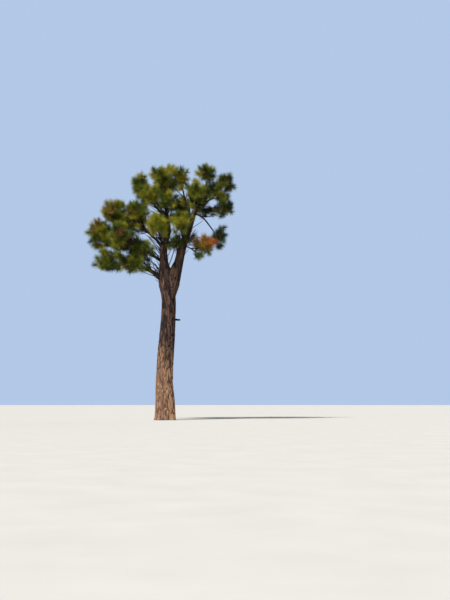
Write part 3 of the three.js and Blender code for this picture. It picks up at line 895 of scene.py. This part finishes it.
def twigs_piece(name, shoots, material):
    """Twigs as one piece of thin tubes: every path is taken at even shares, and runs on through its brush."""
    tubes = []
    for shoot in shoots:
        points = shoot.path(np.linspace(0, 1, TWIG_TUBE["rings"]))
        bud = shoot.brush.place + shoot.brush.axis * TWIG_TUBE["bud"] * MM
        points = np.vstack([points, (points[-1] + bud) / 2, bud])
        radii = np.linspace(shoot.form["root"], shoot.form["tip"], len(points)) * MM
        radii[-1] *= TWIG_TUBE["bud_share"]
        radii = np.repeat(radii[:, None], TWIG_TUBE["sides"], axis=1)
        rings = rings_round(points, radii, square_to(bud - points[0]))
        tubes.append((rings, points[0], bud + shoot.brush.axis * TWIG_TUBE["point"] * MM))
    return tubes_piece(name, tubes, material)


# Bark: the width and height of a plate, and the radius from which on plates have that width, below which
# they narrow to a least share of it. Plates wind round a stem by a twist, in radians a metre. Depths are
# shares of the radius.
BARK = {
    "plate": (72, 290),
    "full_width_from": 170,
    "least_width": 0.3,
    "twist": -0.5,
    "depth": 0.075,
    "level": 0.75,
    "flakes": 0.012,
    "swelling": 0.05,
}
# The plates are cells pushed aside by a noise. At a cell's border is a furrow, and it goes to plate between
# two distances from there. Scales are a noise's cells to a plate, and every noise adds a number of its own
# to the salt.
CELLS = {"push": 0.9, "push_scale": 1.7, "axes_apart": 9, "furrow": (0.02, 0.22), "salt": 5}
FLAKES = {"scale": (5, 5, 9), "salt": 11}
SWELLING = {"scale": 0.35, "salt": 21}

# The meshes of the stems and the dead wood: rings along, sides round, and the salt of the bark.
TRUNK_MESH = {"rings": 330, "sides": 176, "salt": 1}
LEADER_MESH = {"rings": 200, "sides": 100, "salt": 2}
STUB_MESH = {"rings": 24, "sides": 24, "salt": 3}
SPIKE_MESH = {"rings": 40, "sides": 10, "salt": 4}
# The boughs' meshes: thick ones have more sides, and each salt is a step on from the one before.
BOUGH_MESH = {"rings": 72, "thick": 30, "sides": {"thin": 14, "thick": 20}, "salt": 40, "salt_step": 7}

# A skin has the middle line and the side of its limb. For every corner of every ring it has a radius, a
# height on its plate from 0 to 1, and a slow noise.
Skin = namedtuple("Skin", "points side radii plate slow")


def skin_of(limb, rings, sides, salt):
    """A limb's skin. Its points are laid on a cylinder of the limb's own radius and length, cells stretched
    upwards are scattered over that, and the skin sinks into the borders between them and swells a little
    with a slow noise."""
    shares = np.linspace(0, 1, rings)
    points = limb.points(shares)
    radii = limb.radii(shares)[:, None]
    steps = np.linalg.norm(np.diff(points, axis=0), axis=1)
    length = np.concatenate([[0], np.cumsum(steps)])[:, None]
    angles = even_angles(sides)[None, :] + BARK["twist"] * length
    wide, high = (size * MM for size in BARK["plate"])
    wide = wide * np.clip(radii / (BARK["full_width_from"] * MM), BARK["least_width"], 1)
    east, north = radii * np.cos(angles) / wide, radii * np.sin(angles) / wide
    cylinder = np.stack([east, north, length / high + 0 * angles], -1)
    read_at = [cylinder * CELLS["push_scale"] + CELLS["axes_apart"] * axis for axis in range(3)]
    aside = np.stack([smooth_noise(places, salt + axis) for axis, places in enumerate(read_at)], -1)
    pushed = cylinder + CELLS["push"] * (aside - 0.5)
    plate = smooth_step(*CELLS["furrow"], cell_edges(pushed, salt + CELLS["salt"]))
    flakes = smooth_noise(cylinder * FLAKES["scale"], salt + FLAKES["salt"])
    slow = smooth_noise(cylinder * SWELLING["scale"], salt + SWELLING["salt"])
    sunk = BARK["depth"] * (plate - BARK["level"])
    relief = sunk + BARK["flakes"] * (flakes - 0.5) * plate + BARK["swelling"] * (slow - 0.5)
    return Skin(points, limb.side, radii * (1 + relief), plate, slow)


def bark_piece(name, skins, material):
    """Limbs in their bark as one piece, from their skins, closed at both ends. The poles have the height of a
    furrow and the middle of the slow noise."""
    tubes = [(rings_round(s.points, s.radii, s.side), s.points[0], s.points[-1]) for s in skins]
    plate = np.concatenate([np.append(s.plate, [0, 0]) for s in skins])
    slow = np.concatenate([np.append(s.slow, [0.5, 0.5]) for s in skins])
    return tubes_piece(name, tubes, material, plate=plate, slow=slow)


def between(height, starts, full, fades, ends):
    """1 between the two middle heights, 0 outside the outer two, and a smooth step on each side."""
    return smooth_step(starts, full, height) * (1 - smooth_step(fades, ends, height))


def stem_piece(name, limb, mesh, material, inward):
    """A stem in its bark. It has a root flare, lobes round the foot whose swelling fades with height, and
    thicker bark round the fork, which bulges inwards to the other stem, at +X where that is 1."""
    skin = skin_of(limb, **mesh)
    angles = even_angles(mesh["sides"])[None, :]
    height = skin.points[:, 2:]
    lobes = np.cos(ROOT_FLARE["lobes"] * (angles + ROOT_FLARE["turn"]))
    fade = ROOT_FLARE["share"] * np.exp(-height / (ROOT_FLARE["fade"] * MM))
    thicker = FORK_BARK["share"] * between(height, *FORK_BARK["heights"])
    inner = np.maximum(inward * np.sin(angles), 0)
    bulge = FORK_BULGE["share"] * between(height, *FORK_BULGE["heights"]) * inner
    swollen = skin.radii * ((1 + fade * lobes) * (1 + thicker + bulge))
    return bark_piece(name, [skin._replace(radii=swollen)], material)


def level_foot(piece):
    """Presses the foot of the trunk flat onto the ground."""
    mesh = piece.data
    corners = np.empty(len(mesh.vertices) * 3, np.float32)
    mesh.vertices.foreach_get("co", corners)
    corners[2::3] = np.maximum(corners[2::3], 0)
    mesh.vertices.foreach_set("co", corners)


def bough_skin(limb, salt):
    """A bough's skin, with sides that suit its girth and a collar where it leaves its parent."""
    thick = limb.radii(0.0)
    sides = BOUGH_MESH["sides"]["thick" if thick > BOUGH_MESH["thick"] * MM else "thin"]
    skin = skin_of(limb, BOUGH_MESH["rings"], sides, salt)
    from_root = np.linalg.norm(skin.points - skin.points[0], axis=1)[:, None]
    fade = np.exp(-np.maximum(from_root - thick, 0) / (COLLAR["length"] * thick))
    return skin._replace(radii=skin.radii * (1 + COLLAR["swell"] * thick * fade))


def boughs_piece(limbs, material):
    """All the boughs in one piece."""
    names = [mass.name for mass in MASSES if mass.bough.radius]
    first, step = BOUGH_MESH["salt"], BOUGH_MESH["salt_step"]
    skins = [bough_skin(limbs[name], first + step * number) for number, name in enumerate(names)]
    piece = bark_piece("boughs", skins, material)
    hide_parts(*[f"{name}_bough" for name in names])


# Needles.
def bundles_of(brush, form, numbers):
    """The bundles of one brush, all round the end of its twig, from the back of the brush to its front: way
    = axis * cos(lean) + outwards * sin(lean). Returns their roots, their ways, their lengths and their
    shares of the way from back to front."""
    count = form["bundles"]
    share = (np.arange(count) + numbers.uniform(0, 1, count)) / count
    sideways = square_to(brush.axis)
    across = np.cross(brush.axis, sideways)
    angles = numbers.uniform(0, 2 * math.pi, count)
    outwards = turned(sideways, across, angles[:, None])
    cosine = NEEDLES["back_cosine"] + (NEEDLES["front_cosine"] - NEEDLES["back_cosine"]) * share
    cosine = np.clip(cosine + numbers.normal(0, NEEDLES["scatter"], count), NEEDLES["least_cosine"], 1)
    ways = brush.axis * cosine[:, None] + outwards * np.sqrt(1 - cosine**2)[:, None]
    roots = brush.place + brush.axis * (form["ahead"] - (1 - share) * form["along"])[:, None] * MM
    lengths = form["length"] * MM * numbers.uniform(*NEEDLES["bundle_shares"], count)
    return roots, ways, lengths, share


def needles_from(roots, ways, lengths, numbers):
    """Three needles from every root, spread a little from the bundle's way. Each is a closed spike: three
    corners round its foot, square to its way, and one tip."""
    each = NEEDLES["in_bundle"]
    roots, ways, lengths = (np.repeat(values, each, axis=0) for values in (roots, ways, lengths))
    spread = math.radians(NEEDLES["bundle_spread"])
    ways = unit(ways + numbers.normal(0, spread, ways.shape))
    lengths = lengths * numbers.uniform(*NEEDLES["needle_shares"], len(lengths))
    side = square_to(ways)
    square = np.cross(ways, side)
    turns = numbers.uniform(0, 2 * math.pi, (len(ways), 1)) + np.arange(3) * 2 * math.pi / 3
    ring = turned(side[:, None], square[:, None], turns[..., None])
    feet = roots[:, None] + ring * NEEDLES["radius"] * MM
    tips = roots + ways * lengths[:, None]
    return np.concatenate([feet, tips[:, None]], axis=1)


def needle_pieces(label, spikes, material):
    """Pieces of limited size, with four faces a needle."""
    for part, start in enumerate(range(0, len(spikes), MOST_NEEDLES)):
        some = spikes[start : start + MOST_NEEDLES]
        first = np.arange(len(some))[:, None, None] * 4
        faces = first + np.array([[0, 2, 1], [0, 1, 3], [1, 2, 3], [2, 0, 3]])
        piece = piece_of(f"needles_{label}_{part + 1}", some.reshape(-1, 3), [faces.reshape(-1, 3)], material)


# The whole crown.
def grown_shoots(limbs, numbers):
    """Every shoot: with their tones the ones of the source's rule and the finer ones that bear brushes, then
    the bare ones."""
    shares = np.linspace(0, 1, LIMB_SAMPLES)
    limb_tracks = [track_of(limb.points(shares), limb.radii(shares)) for limb in limbs.values()]
    main_shoots, fine_shoots, bare_shoots = [], [], []
    for mass in MASSES:
        space = space_of(mass)
        shoots = shoots_of(mass, *start_of(mass, limbs), space, limb_tracks)
        main_shoots += [(mass.tone, shoot) for shoot in shoots]
        fine = fine_shoots_of(mass, shoots, space, limb_tracks, numbers)
        fine_shoots += [(mass.tone, shoot) for shoot in fine]

    bearers = []
    for mass in MASSES:
        if mass.bough.radius:
            girth = "thin" if mass.bough.radius < SIDE_TWIGS["thin"] else "thick"
            bearers.append((limbs[mass.name], SIDE_TWIGS["first"][girth], mass.tone))
            bare_shoots += bare_shoots_of(limbs[mass.name], *BARE_TWIGS["stretch"], numbers)
    for name, lowest in SIDE_TWIGS["stems"]:
        bearers.append((limbs[name], limbs[name].share_at(lowest), SIDE_TWIGS["stem_tone"]))
    for limb, first, tone in bearers:
        others = [shoot for _, shoot in main_shoots + fine_shoots]
        fine_shoots += [(tone, shoot) for shoot in side_shoots_of(limb, first, others, limb_tracks, numbers)]
    for form in LIVE_SPRAYS:
        fine_shoots += [(form.tone, shoot) for shoot in spray_of(form, FINE_TWIG, limbs, numbers)]

    for name, lowest, highest in BARE_TWIGS["stems"]:
        stem = limbs[name]
        bare_shoots += bare_shoots_of(stem, stem.share_at(lowest), stem.share_at(highest), numbers)
    return main_shoots, fine_shoots, bare_shoots


def colours_of(brush, tone, share, numbers):
    """The colour of each bundle of a brush. It gets yellower from the back of the brush to the front, as
    painted shade at the back and painted sunlight at the front, some of the oldest bundles at the back are
    straw, and a dying patch gives its colour to a share of the bundles."""
    tone = tone + TONE["rise"] * (share - 0.5) + numbers.normal(0, TONE["scatter"], len(share))
    labels = np.array(TONES)[np.clip(tone * len(TONES), 0, len(TONES) - 1).astype(int)]
    old = (share < OLD["back"]) & (numbers.uniform(0, 1, len(share)) < OLD["share"])
    labels = np.where(old, OLD["colour"], labels)
    luck = numbers.uniform(0, 1, len(share))
    for middle, reach, colour, part in DYING:
        if math.dist(middle, from_the_front(brush.place)) < reach:
            labels = np.where(luck < part, colour, labels)
    return labels


def needles_of(main_shoots, fine_shoots, numbers):
    """The needles of every brush, dealt out by bundle to their colours."""
    spikes = {colour: [] for colour in NEEDLE_COLOURS}
    for form, shoots in ((BRUSH, main_shoots), (FINE_BRUSH, fine_shoots)):
        for tone, shoot in shoots:
            roots, ways, lengths, share = bundles_of(shoot.brush, form, numbers)
            made = needles_from(roots, ways, lengths, numbers).reshape(len(share), -1, 4, 3)
            brush_tone = tone + numbers.normal(0, TONE["brush_scatter"])
            labels = colours_of(shoot.brush, brush_tone, share, numbers)
            for colour, groups in spikes.items():
                groups.append(made[labels == colour].reshape(-1, 4, 3))
    return {colour: np.concatenate(groups) for colour, groups in spikes.items()}


# Materials. Scales are cells of noise to a metre along each axis, and stops are values of it.

# The colours of bark: its furrows, its plates from the darkest to the palest, and the patches that flake off.
# Above a border between two heights in metres, the trunk and the right leader are painted darker as painted
# shadow of the crown; below it, the trunk's foot has the bark's own paler colours.
TRUNK_BARK_IN_PAINTED_SHADOW = {
    "furrow": (0.014, 0.010, 0.010),
    "plates": [(0.031, 0.019, 0.017), (0.056, 0.033, 0.028), (0.088, 0.054, 0.043)],
    "patch": (0.160, 0.096, 0.070),
}
FOOT_BARK = {
    "furrow": (0.11, 0.065, 0.045),
    "plates": [(0.20, 0.115, 0.075), (0.32, 0.18, 0.11), (0.42, 0.25, 0.15)],
    "patch": (0.46, 0.30, 0.19),
    "border": (1.0, 1.9),
}
# The boughs' bark is darkened as painted shade of the crown. The bare twigs and the dark spray are drawn in
# it too.
BOUGH_BARK_IN_PAINTED_SHADE = {
    "furrow": (0.012, 0.009, 0.008),
    "plates": [(0.030, 0.021, 0.018), (0.048, 0.035, 0.030), (0.075, 0.058, 0.050)],
    "patch": (0.11, 0.085, 0.072),
}
GREY_WOOD = {
    "furrow": (0.10, 0.085, 0.07),
    "plates": [(0.26, 0.22, 0.18), (0.34, 0.29, 0.24), (0.42, 0.36, 0.30)],
    "patch": (0.5, 0.44, 0.37),
}
DEAD_BARK = {
    "furrow": (0.012, 0.010, 0.009),
    "plates": [(0.035, 0.027, 0.022), (0.055, 0.043, 0.034), (0.08, 0.062, 0.05)],
    "patch": (0.13, 0.10, 0.085),
}
# Bark varies slowly from plate to plate, has flaking patches with a mottle of their own, and a fine bump,
# whose distance is in metres. A furrow turns to plate between two heights on it.
PLATE_STOPS = (0.3, 0.5, 0.7)
DEPTH_STOPS = (0.05, 0.8)
FLAKING = {"scale": (16, 16, 4), "detail": 6, "stops": (0.5, 0.62)}
MOTTLE = {"scale": (40, 40, 14), "stops": (0.3, 0.7)}
BARK_BUMP = {"scale": (60, 60, 18), "detail": 8, "strength": 0.6, "distance": 0.006}
# The noise that makes the border of the painted shadow above the foot ragged, and by how many metres.
RAGGED = {"scale": (9, 9, 3), "height": 0.9}

# Twigs have the grey scars of old bundles, and a bump along them.
TWIG_BROWN = (0.12, 0.08, 0.05)
SCARS = {
    "scale": (90, 90, 90),
    "detail": 3,
    "stops": [(0.35, (0.10, 0.06, 0.04)), (0.65, (0.26, 0.19, 0.14))],
}
SCAR_BUMP = {"strength": 0.5, "distance": 0.002}

FLOOR_GREY = (0.6, 0.6, 0.6)
FLOOR_GRAIN = {"scale": (3, 3, 3), "stops": [(0.3, (0.58, 0.58, 0.58)), (0.7, (0.62, 0.62, 0.62))]}

# The needles' colours: five greens, whose darkest are partly painted shade and yellowest partly painted
# sunlight, and three of old and dying ones.
NEEDLE_COLOURS = {
    "deep": (0.016, 0.034, 0.007),
    "shade": (0.038, 0.065, 0.009),
    "green": (0.092, 0.140, 0.010),
    "olive": (0.175, 0.200, 0.014),
    "bright": (0.330, 0.318, 0.022),
    "straw": (0.36, 0.19, 0.03),
    "copper": (0.30, 0.12, 0.05),
    "rust": (0.46, 0.13, 0.035),
}


def plain_node_material(name, colour, roughness, specular):
    """A material whose only shader has its colour, roughness and specular level set on it. Returns it with
    its tree and its shader."""
    material = bpy.data.materials.new(name)
    material.use_nodes = True
    tree = material.node_tree
    shader = tree.nodes["Principled BSDF"]
    shader.inputs["Base Color"].default_value = (*colour, 1)
    shader.inputs["Roughness"].default_value = roughness
    shader.inputs["Specular IOR Level"].default_value = specular
    return material, tree, shader


def added(tree, kind, inputs, **settings):
    """A node with its settings, and with each input linked to another node's output or set to a value."""
    node = tree.nodes.new(kind)
    for name, value in settings.items():
        setattr(node, name, value)
    for socket, value in inputs.items():
        if isinstance(value, bpy.types.NodeSocket):
            tree.links.new(value, node.inputs[socket])
        else:
            node.inputs[socket].default_value = value
    return node


def object_place(tree):
    """Object coordinates."""
    return added(tree, "ShaderNodeTexCoord", {}).outputs["Object"]


def noise(tree, scale, detail=4):
    """Smooth noise on object coordinates that are scaled along each axis."""
    place = added(tree, "ShaderNodeMapping", {"Vector": object_place(tree), "Scale": scale}).outputs["Vector"]
    inputs = {"Vector": place, "Scale": 1.0, "Detail": detail}
    return added(tree, "ShaderNodeTexNoise", inputs).outputs["Fac"]


def attribute(tree, label):
    """The piece's own attribute of that name."""
    return added(tree, "ShaderNodeAttribute", {}, attribute_name=label).outputs["Fac"]


def ramp(tree, value, stops):
    """A colour for each value: stops are pairs of value and colour."""
    node = added(tree, "ShaderNodeValToRGB", {"Fac": value})
    while len(node.color_ramp.elements) < len(stops):
        node.color_ramp.elements.new(0.5)
    for element, (position, colour) in zip(node.color_ramp.elements, stops):
        element.position = position
        element.color = (*colour, 1)
    return node.outputs["Color"]


def step_between(tree, value, low, high):
    """Black up to the low value, white from the high one on, and even between."""
    return ramp(tree, value, [(low, (0, 0, 0)), (high, (1, 1, 1))])


def blend(tree, factor, first, second):
    """The first colour where the factor is 0, the second where it is 1, and a mix between. Sockets 6 and 7 of
    the node are its colours."""
    return added(tree, "ShaderNodeMix", {0: factor, 6: first, 7: second}, data_type="RGBA").outputs[2]


def bump(tree, shader, height, strength, distance):
    """Fine bump under the light."""
    inputs = {"Strength": strength, "Distance": distance, "Height": height}
    tree.links.new(added(tree, "ShaderNodeBump", inputs).outputs["Normal"], shader.inputs["Normal"])


def painted_shadow_share(tree, low, high):
    """0 below one height and 1 above another, in metres, with a ragged border: the share of painted shadow.
    """
    height = added(tree, "ShaderNodeSeparateXYZ", {"Vector": object_place(tree)}).outputs["Z"]
    inputs = {0: noise(tree, RAGGED["scale"]), 1: RAGGED["height"], 2: height}
    ragged = added(tree, "ShaderNodeMath", inputs, operation="MULTIPLY_ADD").outputs["Value"]
    middle = RAGGED["height"] / 2
    limits = {"Value": ragged, "From Min": low + middle, "From Max": high + middle}
    return added(tree, "ShaderNodeMapRange", limits).outputs["Result"]


def plate_colours(tree, plates, patch):
    """Plates that vary slowly, with flaking patches on them."""
    on_plates = ramp(tree, attribute(tree, "slow"), list(zip(PLATE_STOPS, plates)))
    flaking = step_between(tree, noise(tree, FLAKING["scale"], FLAKING["detail"]), *FLAKING["stops"])
    patches = ramp(tree, noise(tree, MOTTLE["scale"]), list(zip(MOTTLE["stops"], (patch, plates[1]))))
    return blend(tree, flaking, on_plates, patches)


def bark_material(name, colours, foot=None):
    """Bark: dark in its furrows, on plates that vary slowly and flake. Its foot may have colours of its own,
    up to a ragged border, above which the other colours are painted shadow of the crown."""
    material, tree, shader = plain_node_material(name, colours["plates"][0], roughness=0.9, specular=0.12)
    on_plates = plate_colours(tree, colours["plates"], colours["patch"])
    furrow = (*colours["furrow"], 1)
    if foot:
        # Above the ragged border the colours are painted shadow of the crown; below it is the foot's own
        # bark.
        share = painted_shadow_share(tree, *foot["border"])
        on_plates = blend(tree, share, plate_colours(tree, foot["plates"], foot["patch"]), on_plates)
        furrow = ramp(tree, share, [(0.0, foot["furrow"]), (1.0, colours["furrow"])])
    depth = step_between(tree, attribute(tree, "plate"), *DEPTH_STOPS)
    tree.links.new(blend(tree, depth, furrow, on_plates), shader.inputs["Base Color"])
    grain = noise(tree, BARK_BUMP["scale"], BARK_BUMP["detail"])
    bump(tree, shader, grain, BARK_BUMP["strength"], BARK_BUMP["distance"])
    return material


def twig_material():
    """Twigs: rough brown wood with the grey scars of old bundles."""
    material, tree, shader = plain_node_material("twig_bark", TWIG_BROWN, roughness=0.85, specular=0.2)
    scars = noise(tree, SCARS["scale"], SCARS["detail"])
    tree.links.new(ramp(tree, scars, SCARS["stops"]), shader.inputs["Base Color"])
    bump(tree, shader, scars, SCAR_BUMP["strength"], SCAR_BUMP["distance"])
    return material


def floor_material():
    """A pale floor with a faint grain."""
    material, tree, shader = plain_node_material("pale_floor", FLOOR_GREY, roughness=0.9, specular=0.3)
    grain = ramp(tree, noise(tree, FLOOR_GRAIN["scale"]), FLOOR_GRAIN["stops"])
    tree.links.new(grain, shader.inputs["Base Color"])
    return material


def needle_material(tone):
    """Needles of one plain colour, waxy and dull."""
    return plain_node_material(f"needles_{tone}", NEEDLE_COLOURS[tone], roughness=0.6, specular=0.2)[0]


# Camera, lights and floor. The room is seen paler than it lights the tree. A light has its azimuth, counted
# from the front towards the right, its elevation and the angle that it fills, in degrees. The floor's sizes
# are in metres.
SEEN_ROOM = {"Color": (0.45, 0.58, 0.80, 1), "Strength": 1.0}
FELT_ROOM = {"Color": (0.80, 0.88, 1.0, 1), "Strength": 0.11}
KEY_LIGHT = {"azimuth": -38, "elevation": 50, "strength": 5.3, "softness": 10, "colour": (1.0, 0.96, 0.88)}
BACK_LIGHT = {"azimuth": 150, "elevation": 40, "strength": 0.4, "softness": 40, "colour": (0.9, 0.95, 1.0)}
FLOOR = {"radius": 150, "corners": 96, "below": 0.002}


def camera():
    """A camera without roll, tilted up to see the whole tree."""
    data = bpy.data.cameras.new("camera")
    data.lens = LENS
    made = placed("camera", data)
    made.location = EYE
    made.rotation_euler = (math.radians(90) + LOOKS_UP, 0, 0)
    bpy.context.scene.camera = made


def far_light(name, azimuth, elevation, strength, softness, colour):
    """A light so far off that its rays run side by side."""
    data = bpy.data.lights.new(name, "SUN")
    data.energy = strength
    data.angle = math.radians(softness)
    data.color = colour
    placed(name, data).rotation_euler = (math.radians(90 - elevation), 0, math.radians(azimuth))


def surroundings():
    """A pale room, a key light from the upper left and a faint back light."""
    world = bpy.data.worlds.new("pale_room")
    world.use_nodes = True
    tree = world.node_tree
    on_camera = added(tree, "ShaderNodeLightPath", {}).outputs["Is Camera Ray"]
    felt = added(tree, "ShaderNodeBackground", FELT_ROOM).outputs["Background"]
    seen = added(tree, "ShaderNodeBackground", SEEN_ROOM).outputs["Background"]
    either = added(tree, "ShaderNodeMixShader", {0: on_camera, 1: felt, 2: seen}).outputs["Shader"]
    tree.links.new(either, tree.nodes["World Output"].inputs["Surface"])
    bpy.context.scene.world = world
    far_light("key", **KEY_LIGHT)
    far_light("back", **BACK_LIGHT)


def floor():
    """A wide level disc just under the tree: its rim is the radius times cos and sin of even angles."""
    count = FLOOR["corners"]
    angles = even_angles(count)
    rim = np.stack([np.cos(angles), np.sin(angles), 0 * angles], -1) * FLOOR["radius"]
    around = np.arange(count)
    faces = np.stack([around, (around + 1) % count, np.full(count, count)], -1)
    points = np.vstack([rim, [0, 0, 0]]) - [0, 0, FLOOR["below"]]
    mesh = bpy.data.meshes.new("floor")
    mesh.from_pydata(points.tolist(), [], faces.tolist())
    mesh.materials.append(floor_material())
    made = placed("floor", mesh)


# The tree is put together.
camera()
surroundings()
floor()

limbs = limbs_of_tree()
numbers = np.random.default_rng(FINER_SEED)
# The bark of the trunk and the right leader is darkened above the foot as painted shadow of the crown.
trunk_bark_with_painted_shadow = bark_material("trunk_bark_with_painted_shadow", TRUNK_BARK_IN_PAINTED_SHADOW, foot=FOOT_BARK)
bough_bark_in_painted_shade = bark_material("bough_bark_in_painted_shade", BOUGH_BARK_IN_PAINTED_SHADE)
dead_bark = bark_material("dead_bark", DEAD_BARK)

trunk = stem_piece("trunk_in_bark", limbs["trunk"], TRUNK_MESH, trunk_bark_with_painted_shadow, inward=1)
level_foot(trunk)
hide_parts("trunk")
right_leader = limbs["right_leader"]
leader = stem_piece("right_leader_in_bark", right_leader, LEADER_MESH, trunk_bark_with_painted_shadow, inward=-1)
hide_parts("right_leader")
boughs_piece(limbs, bough_bark_in_painted_shade)
stub = bark_piece("dead_stub_in_bark", [skin_of(limbs["dead_stub"], **STUB_MESH)], dead_bark)
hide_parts("dead_stub")
bare = bark_piece("bare_twig_in_bark", [skin_of(limbs["bare_twig"], **SPIKE_MESH)], dead_bark)
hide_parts("bare_twig")

main_shoots, fine_shoots, bare_shoots = grown_shoots(limbs, numbers)
twig_bark = twig_material()
twigs = twigs_piece("twigs", [shoot for _, shoot in main_shoots], twig_bark)
twigs_piece("fine_twigs", [shoot for _, shoot in fine_shoots], twig_bark)
dark_spray = spray_of(DARK_SPRAY, BARE_TWIG, limbs, numbers)
# Bare twigs and the dark spray are drawn in the boughs' bark, dark as painted shade.
twigs_piece("bare_twigs", bare_shoots + dark_spray, bough_bark_in_painted_shade)
grey_spray = spray_of(GREY_SPRAY, BARE_TWIG, limbs, numbers)
twigs_piece("grey_twigs", grey_spray, bark_material("grey_wood", GREY_WOOD))
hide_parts(*[f"{mass.name}_foliage" for mass in MASSES])
for label, spikes in needles_of(main_shoots, fine_shoots, numbers).items():
    needle_pieces(label, spikes, needle_material(label))

bpy.context.scene.view_settings.view_transform = "Standard"
